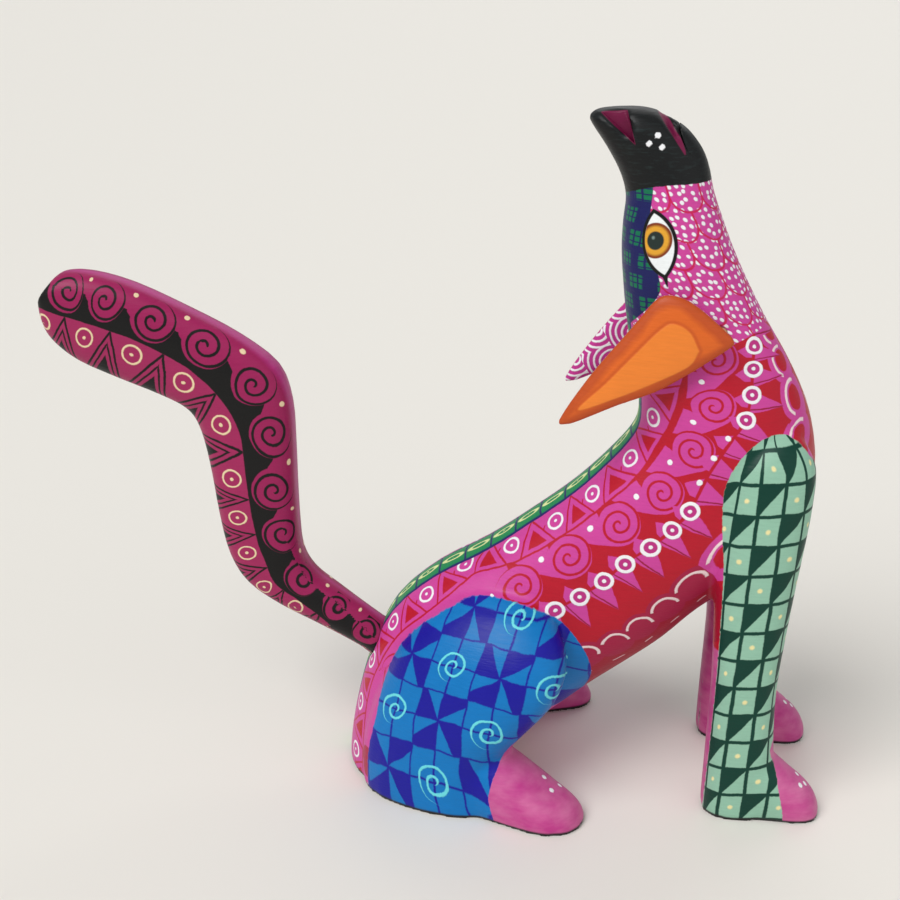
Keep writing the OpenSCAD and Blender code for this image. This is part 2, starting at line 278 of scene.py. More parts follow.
def finish_piece(obj, body, node, material):
    obj.data.materials.clear()
    obj.data.materials.append(material)
    only(obj)
    bpy.ops.object.shade_smooth_by_angle(angle=math.radians(40))
    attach(obj, body)
    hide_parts(node)


# ---- writing node sums
class Val:
    """A value in a node tree, so that a pattern reads as a sum."""

    def __init__(self, tree, socket):
        self.tree, self.socket = tree, socket

    def op(self, kind, *others, clamp=False):
        return op(self.tree, kind, self, *others, clamp=clamp)

    def __add__(self, o):
        return self.op("ADD", o)

    __radd__ = __add__

    def __sub__(self, o):
        return self.op("SUBTRACT", o)

    def __rsub__(self, o):
        return op(self.tree, "SUBTRACT", o, self)

    def __mul__(self, o):
        return self.op("MULTIPLY", o)

    __rmul__ = __mul__

    def __truediv__(self, o):
        return self.op("DIVIDE", o)

    def __neg__(self):
        return self.op("MULTIPLY", -1.0)

    def __abs__(self):
        return self.op("ABSOLUTE")


def op(tree, kind, *values, clamp=False):
    node = tree.nodes.new("ShaderNodeMath")
    node.operation = kind
    node.use_clamp = clamp
    for i, v in enumerate(values):
        if isinstance(v, Val):
            tree.links.new(v.socket, node.inputs[i])
        else:
            node.inputs[i].default_value = v
    return Val(tree, node.outputs[0])


def least(a, b):
    return a.op("MINIMUM", b)


def most(a, b):
    return a.op("MAXIMUM", b)


def inside(gap, blur=0.1):
    """1 where a signed distance in mm is negative, with a soft brush edge."""
    return (0.5 - gap / (2 * blur)).op("ADD", 0.0, clamp=True)


def length(a, b):
    return (a * a + b * b).op("SQRT")


def either(a, b):
    return a.op("MAXIMUM", b)


def outside(a):
    return 1.0 - a


def cell(tree, phase, pitch):
    """Distance in mm from the middle of the nearest step of a row, and the number of that step."""
    step = op(tree, "ROUND", phase)
    return (phase - step) * pitch, step


def blend(tree, factor, a, b):
    """A mix of two colours, each a constant or a socket."""
    mix = tree.nodes.new("ShaderNodeMix")
    mix.data_type = "RGBA"
    tree.links.new(factor.socket, mix.inputs["Factor"])
    for key, colour in (("A", a), ("B", b)):
        if isinstance(colour, tuple):
            mix.inputs[key].default_value = colour
        else:
            tree.links.new(colour, mix.inputs[key])
    return mix.outputs["Result"]


def from_nearer(tree, along, pitch):
    """The way along a step, from whichever of its two ends is nearer."""
    return along - outside(op(tree, "LESS_THAN", along, pitch / 2)) * pitch


class Paint:
    """Layers of paint over each other, and how thick the top one stands."""

    def __init__(self, tree, ground):
        self.tree = tree
        node = tree.nodes.new("ShaderNodeRGB")
        node.outputs[0].default_value = ground
        self.colour = node.outputs[0]
        self.height = None

    def layer(self, mask, colour, relief=0.0):
        self.colour = blend(self.tree, mask, self.colour, colour)
        if self.height is not None:
            self.height = self.height * outside(mask) + mask * relief
        elif relief:
            self.height = mask * relief


def group_tree(name, inputs, outputs):
    """A new shader group with float inputs (name to default) and outputs (name to socket type)."""
    tree = bpy.data.node_groups.new(name, "ShaderNodeTree")
    for key, default in inputs.items():
        if default == "vector":
            tree.interface.new_socket(key, in_out="INPUT", socket_type="NodeSocketVector")
        else:
            tree.interface.new_socket(key, in_out="INPUT", socket_type="NodeSocketFloat").default_value = default
    for key, kind in outputs.items():
        tree.interface.new_socket(key, in_out="OUTPUT", socket_type=kind)
    entry = tree.nodes.new("NodeGroupInput")
    leave = tree.nodes.new("NodeGroupOutput")
    given = {key: Val(tree, entry.outputs[key]) for key in inputs}
    return tree, given, leave


def use_group(tree, name, outputs=("Mask",), **inputs):
    node = tree.nodes.new("ShaderNodeGroup")
    node.node_tree = bpy.data.node_groups[name]
    for key, v in inputs.items():
        if isinstance(v, Val):
            tree.links.new(v.socket, node.inputs[key])
        else:
            node.inputs[key].default_value = v
    got = [Val(tree, node.outputs[o]) for o in outputs]
    return got[0] if len(got) == 1 else got


def attribute(tree, name):
    node = tree.nodes.new("ShaderNodeAttribute")
    node.attribute_name = name
    split = tree.nodes.new("ShaderNodeSeparateXYZ")
    tree.links.new(node.outputs["Vector"], split.inputs[0])
    return [Val(tree, o) for o in split.outputs]


def object_mm(tree):
    """Object coordinates in mm: the vector, then x, y and z."""
    coords = tree.nodes.new("ShaderNodeTexCoord")
    scale = tree.nodes.new("ShaderNodeVectorMath")
    scale.operation = "SCALE"
    scale.inputs["Scale"].default_value = 1000
    tree.links.new(coords.outputs["Object"], scale.inputs[0])
    split = tree.nodes.new("ShaderNodeSeparateXYZ")
    tree.links.new(scale.outputs[0], split.inputs[0])
    return [Val(tree, scale.outputs[0])] + [Val(tree, o) for o in split.outputs]


def noise(tree, vector, size, detail=2.0, stretch=None):
    """Noise between about -1 and 1 whose features are this many mm across."""
    node = tree.nodes.new("ShaderNodeTexNoise")
    node.inputs["Scale"].default_value = 1.0 / size
    node.inputs["Detail"].default_value = detail
    source = vector.socket
    if stretch:
        mapping = tree.nodes.new("ShaderNodeMapping")
        mapping.inputs["Scale"].default_value = stretch
        tree.links.new(source, mapping.inputs["Vector"])
        source = mapping.outputs[0]
    tree.links.new(source, node.inputs["Vector"])
    return (Val(tree, node.outputs["Fac"]) - 0.5) * 2.0


# ---- shared groups
def make_groups():
    # A ring with a dot in it: radius to the middle of its line, and the line's width
    tree, g, leave = group_tree(
        "Ring and dot",
        {"Along": 0.0, "Across": 0.0, "Radius": 2.0, "Line": 0.6, "Dot": 0.45, "Squeeze": 1.0},
        {"Ring": "NodeSocketFloat", "Dot": "NodeSocketFloat", "Disc": "NodeSocketFloat"})
    r = length(g["Along"], g["Across"] * g["Squeeze"])
    tree.links.new(inside(abs(r - g["Radius"]) - g["Line"] / 2).socket, leave.inputs["Ring"])
    tree.links.new(inside(r - g["Dot"]).socket, leave.inputs["Dot"])
    tree.links.new(inside(r - g["Radius"]).socket, leave.inputs["Disc"])

    # A painted spiral line: Spacing is the pitch of its turns, Turn its start in radians
    tree, g, leave = group_tree(
        "Spiral",
        {"Along": 0.0, "Across": 0.0, "Radius": 5.0, "Spacing": 2.1, "Line": 0.5, "Turn": 0.0, "Start": 0.5},
        {"Mask": "NodeSocketFloat"})
    r = length(g["Along"], g["Across"])
    angle = (g["Across"].op("ARCTAN2", g["Along"]) + g["Turn"]) / (2 * math.pi)
    turns = r / g["Spacing"] - angle
    off = abs(turns - turns.op("ROUND")) * g["Spacing"]
    mask = inside(off - g["Line"] / 2) * inside(r - g["Radius"]) * inside(g["Start"] - r)
    tree.links.new(mask.socket, leave.inputs["Mask"])

    # Paint and wood finish: brushed colour variation, gloss variation and a bump height
    tree, g, leave = group_tree(
        "Brushed paint", {"Coordinates": "vector", "Relief": 0.0},
        {"Tint": "NodeSocketFloat", "Roughness": "NodeSocketFloat", "Height": "NodeSocketFloat"})
    v = g["Coordinates"]
    broad = noise(tree, v, 14.0)
    strokes = noise(tree, v, 1.0, 3.0, (0.25, 0.6, 2.2))
    fine = noise(tree, v, 0.35, 2.0)
    tint = 1.0 + broad * 0.06 + strokes * 0.09
    tree.links.new(tint.socket, leave.inputs["Tint"])
    rough = 0.42 + broad * 0.08 + strokes * 0.10 - g["Relief"] * 0.05
    tree.links.new(rough.socket, leave.inputs["Roughness"])
    high = strokes * 0.03 + fine * 0.012 + broad * 0.05 + g["Relief"] * 0.09
    tree.links.new(high.socket, leave.inputs["Height"])


def new_material(name):
    mat = bpy.data.materials.new(name)
    mat.use_nodes = True
    tree = mat.node_tree
    tree.nodes.clear()
    out = tree.nodes.new("ShaderNodeOutputMaterial")
    shader = tree.nodes.new("ShaderNodeBsdfPrincipled")
    tree.links.new(shader.outputs[0], out.inputs["Surface"])
    return mat, tree, shader


def end_material(tree, shader, paint, coords, wood):
    """Joins the paint layers, the brushed finish and bare wood to the shader."""
    tint, rough, high = use_group(
        tree, "Brushed paint", ("Tint", "Roughness", "Height"), Coordinates=coords, Relief=paint.height)
    shade = tree.nodes.new("ShaderNodeHueSaturation")
    tree.links.new(tint.socket, shade.inputs["Value"])
    tree.links.new(paint.colour, shade.inputs["Color"])
    grain = noise(tree, coords, 1.2, 4.0, (0.2, 1.0, 1.0)) * 0.5 + 0.5
    colour = blend(tree, wood, shade.outputs[0], blend(tree, grain, WOOD, DARK_WOOD))
    tree.links.new(colour, shader.inputs["Base Color"])
    tree.links.new((rough + wood * 0.3).socket, shader.inputs["Roughness"])
    bump = tree.nodes.new("ShaderNodeBump")
    bump.inputs["Strength"].default_value = 1.0
    bump.inputs["Distance"].default_value = MM
    tree.links.new(high.socket, bump.inputs["Height"])
    tree.links.new(bump.outputs[0], shader.inputs["Normal"])
    shader.inputs["IOR"].default_value = 1.45
    shader.inputs["Specular IOR Level"].default_value = 0.3


# ---- painted patterns of the body
def hand(tree, coords, values, size=5.0, sway=0.35, shake=0.09):
    """The same values as a hand would have drawn them: swaying a little and with an uneven edge."""
    out = []
    for i, v in enumerate(values):
        shift = (1.0 + 0.37 * i, 1.0, 1.0 - 0.21 * i)
        out.append(v + noise(tree, coords, size, 1.0, shift) * sway + noise(tree, coords, 0.7, 1.0, shift) * shake)
    return out


def paint_upper(tree, paint, coords):
    """Zigzag of pink and red triangles, with a white ring in each pink one."""
    phase, across, _ = attribute(tree, "upper")
    pitch = PITCH["upper"]
    du, _ = cell(tree, phase, pitch)
    du, v = hand(tree, coords, (du, across))
    band = inside(-4.9 - v)
    paint.layer(band, PINK)
    low = v + 4.9
    # the upright triangle between two rings widens downwards from the stripe
    from_tip = pitch / 2 - abs(du)
    edge = (from_tip - (9.5 - low) * 0.5) * 0.9
    paint.layer(inside(most(edge + 1.5, 1.2 - low)) * band, RED)
    lines = inside(abs(edge) - 0.25) * inside(-0.1 - low)
    base = inside(abs(low) - 0.28)
    mid = inside(abs(du - v * 0.6 + 3.4) - 0.22) * inside(edge * -1.0) * inside(v - 0.5)
    paint.layer(either(either(lines, base), mid), RED)
    ring, dot = use_group(
        tree, "Ring and dot", ("Ring", "Dot"), Along=du, Across=v, Radius=2.05, Line=0.62, Dot=0.42, Squeeze=0.95)
    paint.layer(either(ring, dot), WHITE, 1.0)


def paint_middle(tree, paint, coords):
    """Running scroll: pink discs with a red spiral, each drawn out of the band above."""
    phase, across, _ = attribute(tree, "middle")
    pitch = PITCH["middle"]
    start = phase.op("FLOOR")
    d = (phase - start) * pitch
    d, v = hand(tree, coords, (d, across), 6.0, 0.3)
    disc = least(length(d, v), length(d - pitch, v)) - 5.4
    tail = most(0.9 - (d - 4.8) * 0.91 - v, 0.9 + (4.8 - d) * 1.6 - v)
    tail = most(tail, d - 10.6)
    tail = most(tail, v - 6.6)
    paint.layer(inside(least(disc, tail)), PINK)
    # plain pink behind the first disc, down to the rump
    x, _, z = object_mm(tree)[1:]
    paint.layer(inside((x - 22) * 0.8 + (z - 59) * 0.6), PINK)
    spiral = use_group(
        tree, "Spiral", Along=from_nearer(tree, d, pitch), Across=v,
        Radius=5.7, Spacing=2.45, Line=0.65, Turn=0.6, Start=0.25)
    paint.layer(spiral, RED)
    dot = inside(length(d - 7.6, v - 3.3) - 0.75)
    paint.layer(dot, WHITE, 1.0)


def paint_lower(tree, paint, coords):
    """White rings on pink points, with a pink pennant hanging between each two."""
    phase, across, _ = attribute(tree, "lower")
    pitch = PITCH["lower"]
    du, step = cell(tree, phase, pitch)
    du, v = hand(tree, coords, (du, across), 5.0, 0.25)
    # a pink pennant hangs between two rings, with a dark line down to its point
    gap, _ = cell(tree, phase + 2.0 / pitch, pitch)
    gap, low = hand(tree, coords, (gap, across), 4.0, 0.3)
    half = 3.0 * (low + 8.6) / 8.4
    pennant = most(abs(gap) - half, low + 0.2)
    pennant = most(pennant, -0.5 - phase)
    paint.layer(inside(pennant), PINK)
    line = inside(abs(gap + (low + 8.6) * 0.24) - 0.18) * inside(pennant)
    paint.layer(line, DARK_RED)
    point = most(abs(du + 1.6) - (4.4 - v) * 0.8, 0.6 - v)
    paint.layer(inside(most(most(point, v - 4.4), -0.5 - phase)), PINK)
    # the row thins to three plain dots above the elbow
    dots_only = op(tree, "LESS_THAN", abs(step - 9.0), 1.5)
    ring, dot, disc = use_group(
        tree, "Ring and dot", ("Ring", "Dot", "Disc"), Along=du, Across=v, Radius=2.0, Line=0.85, Dot=0.5)
    # nothing of the row is painted behind its start
    here = inside(-0.5 - phase)
    paint.layer(disc * outside(dots_only) * here, RING_PINK)
    big = inside(length(du, v - 1.2) - 0.75) * dots_only
    paint.layer(either(either(ring, dot) * outside(dots_only), big) * here, WHITE, 1.0)


def paint_belly(tree, paint, coords):
    """Scallops along the belly and up the chest, each with a white arch."""
    phase, across, _ = attribute(tree, "belly")
    pitch = PITCH["belly"]
    du, step = cell(tree, phase, pitch)
    du, v = hand(tree, coords, (du, across), 5.0, 0.25)
    r = length(du, v - 0.6)
    chest = inside(5.5 - step)
    under = inside(v - 1.0) * inside(-14.0 - v) * inside(-0.5 - phase)
    paint.layer(under * outside(chest), BELLY_RED)
    paint.layer(inside(r - 4.6), SCALLOP_RED)
    paint.layer(inside(r - 4.8) * chest, PINK)
    paint.layer(inside(r - 2.3) * chest, RED)
    arc = inside(-0.4 - phase) * inside(abs(r - 3.1) - 0.33) * inside(0.2 - du * 0.45 - (v - 0.6))
    paint.layer(arc, ARCH_WHITE, 1.0)
    dash = inside(most(abs(du + 1.5) - 1.1, abs(v + 5.6) - 0.22))
    paint.layer(dash, DASH_PINK, 1.0)


def paint_head(tree, paint, coords):
    """Rows of pink scales with red edges, thickly dotted with white."""
    u, v, gap = attribute(tree, "head")
    u, v = hand(tree, coords, (u, v), 7.0, 0.5, 0.08)
    zone = inside(gap)
    paint.layer(zone, PINK)
    wide, tall = 7.6, 6.6
    row = (v / tall).op("FLOOR")
    odd = row.op("PINGPONG", 1.0)
    best = None
    for k in (0, 1):
        shifted = u / wide + (odd + k) * 0.5
        du = (shifted - shifted.op("ROUND")) * wide
        dv = v - (row + 1.0 - k) * tall
        r = length(du, least(dv, 0.0))
        line = inside(abs(r - wide / 2) - 0.25) * inside(dv - (tall - wide / 2))
        best = line if best is None else either(best, line)
    paint.layer(best * zone, SCALE_RED)
    plane = tree.nodes.new("ShaderNodeCombineXYZ")
    tree.links.new(u.socket, plane.inputs[0])
    tree.links.new(v.socket, plane.inputs[1])
    dots = tree.nodes.new("ShaderNodeTexVoronoi")
    dots.voronoi_dimensions = "2D"
    dots.inputs["Scale"].default_value = 1 / 1.8
    dots.inputs["Randomness"].default_value = 0.5
    tree.links.new(plane.outputs[0], dots.inputs["Vector"])
    away = Val(tree, dots.outputs["Distance"]) * 1.8
    paint.layer(inside(away - 0.48) * zone * outside(best), WHITE, 1.0)


def paint_stripe(tree, paint, coords):
    """Navy stripe down the back with green blocks, and the plaid forehead."""
    along, away, forehead = attribute(tree, "spine")
    pitch = PITCH["spine"]
    du = (along / pitch - (along / pitch).op("ROUND")) * pitch
    du, v = hand(tree, coords, (du, away), 5.0, 0.25)
    band = inside(v - 5.2)
    paint.layer(band, NAVY)
    block = most(v - 4.1, abs(du) - (pitch / 2 - 0.3))
    paint.layer(inside(block), GREEN)
    leaf = length(du * 0.42, v)
    paint.layer(either(inside(abs(leaf - 1.2) - 0.28), inside(length(du * 0.7, v) - 0.38)), PALE_GREEN, 1.0)
    face = inside(forehead)
    paint.layer(face, FACE_NAVY)
    _, y, z = object_mm(tree)[1:]
    a, b = hand(tree, coords, (abs(y), z), 5.0, 0.3)
    cell_a, cell_b = (a / 1.2) - (a / 1.2).op("FLOOR"), (b / 1.4) - (b / 1.4).op("FLOOR")
    block = (inside(abs(cell_a - 0.5) - 0.36, 0.06)) * inside(abs(cell_b - 0.5) - 0.38, 0.06)
    tall = (b / 5.2) - (b / 5.2).op("FLOOR")
    wide = (a / 5.0 + (b / 5.2).op("FLOOR").op("PINGPONG", 1.0) * 0.5)
    wide = wide - wide.op("FLOOR")
    patch = inside(abs(tall - 0.45) - 0.33, 0.03) * inside(abs(wide - 0.5) - 0.33, 0.03)
    paint.layer(block * patch * face, PLAID_GREEN)


def paint_haunch(tree, paint, coords):
    """Blue blocks with cyan spirals, chequered with ultramarine pinwheels."""
    gap, a, b = attribute(tree, "haunch")
    a, b = hand(tree, coords, (a, b), 7.0, 0.05, 0.01)
    gap = gap + noise(tree, coords, 1.2) * 0.25
    zone = inside(gap)
    paint.layer(zone, BLUE)
    ia, ib = a.op("ROUND"), b.op("ROUND")
    fa, fb = (a - ia) * 2.0, (b - ib) * 2.0
    odd = (ia + ib).op("PINGPONG", 1.0)
    same = op(tree, "LESS_THAN", fa * fb, 0.0)
    steep = inside(abs(fa) - abs(fb) * 0.74, 0.02)
    flat = inside(abs(fb) - abs(fa) * 0.74, 0.02)
    blue = steep * same + flat * outside(same)
    paint.layer(outside(blue) * odd * zone, ULTRA)
    x = object_mm(tree)[1]
    lines = either(inside(abs(fa) - 0.042, 0.02), inside(abs(fb) - 0.035, 0.02))
    rims = either(inside(0.965 - abs(fa), 0.02), inside(0.97 - abs(fb), 0.02))
    paint.layer(either(lines, rims) * zone, ULTRA)
    spiral = use_group(
        tree, "Spiral", Along=fa * 6.2, Across=fb * 7.4, Radius=4.1, Spacing=2.15, Line=0.6, Turn=2.0, Start=0.5)
    paint.layer(spiral * outside(odd) * zone * inside(x - 35.5), CYAN, 1.0)


def paint_leg(tree, paint, coords):
    """Mint squares with a cream dot, chequered with squares cut by a diagonal."""
    gap, u, v = attribute(tree, "leg")
    u, v = hand(tree, coords, (u, v), 6.0, 0.3)
    zone = inside(gap + noise(tree, coords, 1.0) * 0.25)
    paint.layer(zone, MINT)
    wide, tall = 6.0, 7.6
    cu, cv = u / wide, (v - u * 0.08) / tall
    iu, iv = cu.op("FLOOR"), cv.op("FLOOR")
    fu, fv = cu - iu, cv - iv
    odd = (iu + iv).op("PINGPONG", 1.0)
    cut_off = inside((fu - fv) * 4.0)
    paint.layer(cut_off * odd * zone, DEEP_GREEN)
    lines = either(inside(0.5 - abs(fu - 0.5) - 0.08, 0.02), inside(0.5 - abs(fv - 0.5) - 0.06, 0.015))
    paint.layer(lines * zone, DEEP_GREEN)
    dot = inside(length((fu - 0.5) * wide, (fv - 0.5) * tall) - 0.6, 0.2)
    paint.layer(dot * outside(odd) * zone, LEG_CREAM, 0.6)


def paint_eye(tree, paint):
    a, b, zone = attribute(tree, "eye")
    # almond: where two circles meet
    left, right = length(a + 5.3, b), length(a - 5.3, b)
    lens = most(left, right) - 8.7
    tail = most(abs(a) - 0.1 - (b + 9.6) * 0.22, -9.6 - b)
    tail = most(tail, b + 5.0)
    near = inside(zone)
    paint.layer(inside(least(lens - 0.7, tail)) * near, BLACK, 0.6)
    white = inside(lens + 0.1) * near
    paint.layer(white, EYE_WHITE)
    # the iris sits a little above the middle of the almond
    ca, cb = a * 0.955 - b * 0.297, a * 0.297 + b * 0.955
    iris = length(ca + 0.95, cb - 0.7)
    open_eye = inside(lens + 0.05) * near
    paint.layer(inside(iris - 3.85) * open_eye, IRIS_RIM)
    paint.layer(inside(iris - 3.15, 0.3) * open_eye, IRIS)
    paint.layer(inside(iris - 2.0, 0.15) * open_eye, PUPIL)
    paint.layer(inside(length(ca + 1.5, cb - 1.3) - 0.33, 0.2) * open_eye, GLINT)


def body_material():
    mat, tree, shader = new_material("Painted body")
    coords, _, _, z = object_mm(tree)
    paint = Paint(tree, RED)
    paint_middle(tree, paint, coords)
    paint_belly(tree, paint, coords)
    paint_lower(tree, paint, coords)
    paint_upper(tree, paint, coords)
    paint_head(tree, paint, coords)
    paint_stripe(tree, paint, coords)
    plain, muzzle, cuts = attribute(tree, "zones")
    paint.layer(inside(plain + noise(tree, coords, 2.0) * 0.3), PLAIN_PINK)
    pale = noise(tree, coords, 7.0, 3.0, (1.0, 1.0, 2.0)) * 0.9 + 0.35
    paint.layer(inside(plain, 0.4) * pale.op("ADD", 0.0, clamp=True) * 0.8, WORN_PINK)
    paint_haunch(tree, paint, coords)
    paint_leg(tree, paint, coords)
    dark = inside(muzzle + noise(tree, coords, 1.5) * 0.2)
    paint.layer(dark, MUZZLE_BLACK)
    streaks = (noise(tree, coords, 0.9, 3.0, (0.35, 0.35, 1.6)) * 1.6 - 0.1).op("ADD", 0.0, clamp=True)
    paint.layer(dark * streaks * 0.6, MUZZLE_STREAK)
    paint_eye(tree, paint)
    paint.layer(inside(cuts - 0.12), CUT_RED)
    paint.layer(inside(attribute(tree, "dots")[0] - 0.75), WHITE, 1.0)
    paint.layer(inside(z - 1.0 + noise(tree, coords, 6.0) * 0.35, 0.3), SOLE_BLACK)
    wood = attribute(tree, "bare")[0]
    end_material(tree, shader, paint, coords, inside(wood - 0.12, 0.05))
    return mat


# ---- other materials
def tail_material():
    mat, tree, shader = new_material("Painted tail")
    coords = object_mm(tree)[0]
    paint = Paint(tree, TAIL_BLACK)
    # upper row: magenta scroll with black spirals
    phase, v, _ = attribute(tree, "scroll")
    pitch = PITCH["scroll"]
    start = phase.op("FLOOR")
    d = (phase - start) * pitch
    d, v = hand(tree, coords, (d, v), 6.0, 0.3)
    # the discs shrink towards the root
    size = 5.8 - most(phase - 6.5, 0.0) * 0.35
    disc = least(length(d, v), length(d - pitch, v)) - size
    lobe = most(0.9 - (d - 4.8) * 0.7 - v, 0.9 + (4.8 - d) * 1.4 - v)
    lobe = most(lobe, d - 11.0)
    shape = least(most(lobe, v - 5.5), disc)
    paint.layer(inside(least(shape, 4.9 - v)), MAGENTA)
    # painted highlight: a lighter magenta strip along the top edge of the tail, where the light falls on it
    paint.layer(inside(6.4 - v, 0.8), HIGHLIGHT_MAGENTA)
    spiral = use_group(
        tree, "Spiral", Along=from_nearer(tree, d, pitch), Across=v,
        Radius=size, Spacing=2.6, Line=0.75, Turn=0.8, Start=0.3)
    paint.layer(spiral, BLACK)
    paint.layer(inside(length(d - 7.2, v - 4.4) - 0.65), CREAM, 1.0)
    # lower row: ringed fields between nested V shapes
    phase, w, _ = attribute(tree, "fields")
    pitch = PITCH["fields"]
    du, _ = cell(tree, phase, pitch)
    du, w = hand(tree, coords, (du, w), 6.0, 0.3)
    # near the root the fields draw back from the discs
    lower = inside(w - 3.9 + most(phase - 7.5, 0.0) * 0.8)
    paint.layer(lower, FIELD_MAGENTA)
    off = pitch / 2 - abs(du)
    half = (3.6 - w) * 0.42
    edge = off - half
    paint.layer(inside(abs(edge) - 0.34) * lower, BLACK)
    paint.layer(inside(abs(edge + 1.5) - 0.28) * lower, BLACK)
    paint.layer(inside(edge + 2.7) * lower, BLACK)
    ring, dot = use_group(
        tree, "Ring and dot", ("Ring", "Dot"), Along=du, Across=w, Radius=2.35, Line=0.5, Dot=0.5, Squeeze=0.95)
    paint.layer(either(ring, dot) * lower, CREAM, 1.0)
    wood = attribute(tree, "bare")[0]
    end_material(tree, shader, paint, coords, inside(wood, 0.05))
    return mat


def ear_material():
    mat, tree, shader = new_material("Painted ear")
    coords = object_mm(tree)[0]
    u, w, outer = attribute(tree, "leaf")
    u, w = hand(tree, coords, (u, w), 7.0, 0.4)
    paint = Paint(tree, ORANGE)
    # shares of the way in from the leaf's edge
    edge, tear, _ = attribute(tree, "rims")
    paint.layer(inside(edge - 2.4 + noise(tree, coords, 8.0), 0.7), DEEP_ORANGE)
    paint.layer(inside(tear, 0.2), PALE_ORANGE, 1.0)
    paint.layer(inside(abs(tear - 0.4) - 0.35, 0.3) * 0.6, DEEP_ORANGE)
    # inner side: white fans of lines on pink
    side = inside(outer + noise(tree, coords, 1.5) * 0.06, 0.05)
    paint.layer(side, EAR_PINK)
    cu, cw = u / 8.5, w / 9.0
    row = cu.op("ROUND")
    odd = row.op("PINGPONG", 1.0)
    shift = cw + odd * 0.5
    fu, fw = (cu - row) * 8.5, (shift - shift.op("ROUND")) * 9.0
    r = length(fu + 2.6, fw)
    wave = abs(r / 1.5 - (r / 1.5).op("ROUND")) * 1.5
    paint.layer(inside(wave - 0.27) * side, WHITE, 1.0)
    wood = attribute(tree, "bare")[0]
    end_material(tree, shader, paint, coords, inside(wood, 0.05))
    return mat


# ---- pieces
# Points (x, z) in mm in the side view: middle lines of the painted rows, and outlines of the painted areas
SPINE = (
    (-24, 4), (-22, 18), (-18, 31), (-12, 45), (-1, 55), (12, 63), (24, 72), (35, 81), (44, 91), (50, 99),
    (50, 106), (49, 114), (47, 122),
)
UPPER = (
    (-21, 6), (-20, 19), (-17, 31), (-11, 43), (-2, 52), (8, 60), (20, 67), (31, 75), (40, 83), (49, 93),
    (54, 104), (56, 116),
)
MIDDLE = (
    (11, 50), (23, 59), (35, 68), (47, 78), (57, 87), (64, 98), (68, 109), (68, 120),
)
LOWER = (
    (26, 50), (32, 54), (38, 58), (44, 63), (49, 68), (55, 73), (60, 78), (64, 83), (67, 90), (70, 96),
    (73, 101), (76, 106), (77, 112), (77, 118), (77, 123),
)
BELLY = (
    (33, 36), (40, 40), (48, 44), (54, 49), (60, 55), (66, 62), (74, 72), (84, 86), (90, 100), (88, 110),
    (84, 119),
)
HAUNCH = (
    (-16, -4), (-16, 10), (-14, 21), (-12, 31), (-8, 40), (-2, 47), (6, 53), (13, 56), (22, 56), (31, 53),
    (37, 47), (41, 39), (41, 31), (36, 23), (24, 22), (19, 15), (17, 8), (16, -4),
)
LEG = (
    (72, -4), (72, 5), (73, 36), (73, 66), (72, 79), (72, 89), (75, 96), (80, 101), (86, 102), (92, 97),
    (98, 86), (100, 60), (96, 30), (88, 21), (90, 12), (91, -4),
)
FOREHEAD = (
    (36, 164), (50, 163), (51, 152), (53, 142), (54, 136), (51, 131), (48, 127), (44, 120), (38, 124),
    (34, 144),
)
SCROLL = (
    (-92, 130), (-83, 128), (-71, 123), (-58, 117), (-46, 107), (-42, 94), (-42, 78), (-40, 66), (-35, 53),
    (-26, 45), (-19, 38),
)
FIELDS = (
    (-100, 121), (-89, 118), (-77, 114), (-64, 107), (-55, 96), (-53, 81), (-52, 70), (-50, 60), (-46, 50),
    (-38, 44), (-28, 37), (-18, 31),
)


def axis_gap(co, root, axis):
    """For points in mm: the way from an axis, and the way along it from its root."""
    rel, axis = co - np.array(root), np.array(axis)
    ahead = rel @ axis
    return np.linalg.norm(rel - ahead[:, None] * axis, axis=1), ahead


def on_side(v, side):
    """The same place or direction on the left side (1) or on the right side (-1)."""
    return Vector((v.x, v.y * side, v.z))


def cut_body(obj):
    """Cuts the ears' sockets, the mouth, the nostrils, and the tail's socket and seat."""
    middle, half = (MOUTH[0], MOUTH[1] + MOUTH_RISE), NOSTRIL_W / 2
    for side in (1, -1):
        axis, start = on_side(EAR_AXIS, side), on_side(EAR_PEG, side)
        cut(obj, rod(start - axis * EAR_SOCKET_L, axis, EAR_SOCKET_R, EAR_SOCKET_L))
        cut(obj, cutter(
            slice_of(MOUTH, MOUTH_LEAN, 0, MOUTH_W, MOUTH_L, MOUTH_SIDE * side),
            slice_of(middle, MOUTH_LEAN, 0, SLIT_W, MOUTH_L, -MIDDLE_OVER * side)))
        cut(obj, cutter(*[
            slice_of(NOSTRIL, NOSTRIL_LEAN, -half, half, NOSTRIL_L, y * side) for y in (NOSTRIL_OUT, NOSTRIL_IN)]))
    cut(obj, rod(TAIL_ROOT - TAIL_AXIS * TAIL_SOCKET_L, TAIL_AXIS, TAIL_SOCKET_R, TAIL_SOCKET_L))
    cut(obj, rod(TAIL_ROOT - TAIL_AXIS * TAIL_SEAT_IN, TAIL_AXIS, TAIL_SEAT_R, TAIL_SEAT_L))


def mark_rows(obj, q):
    """Where each vertex lies along and across the stripe and the painted rows."""
    skin = BVHTree.FromPolygons([Vector(p) for p in points_of(obj)], [p.vertices[:] for p in obj.data.polygons])
    places, _ = row_on_surface(SPINE, skin, 0.0)
    stretch = np.concatenate([[0], np.cumsum(np.linalg.norm(np.diff(places, axis=0), axis=1))])
    along, away = along_row(q, places, stretch, 1.0)
    forehead = np.maximum(outline_gap(FOREHEAD, q[:, 0], q[:, 2]), q[:, 1] - 12.5)
    store(obj, "spine", along, np.abs(away), forehead)
    for name, points in (("upper", UPPER), ("middle", MIDDLE), ("lower", LOWER), ("belly", BELLY)):
        store(obj, name, *along_row(q, *row_on_surface(points, skin), PITCH[name]))


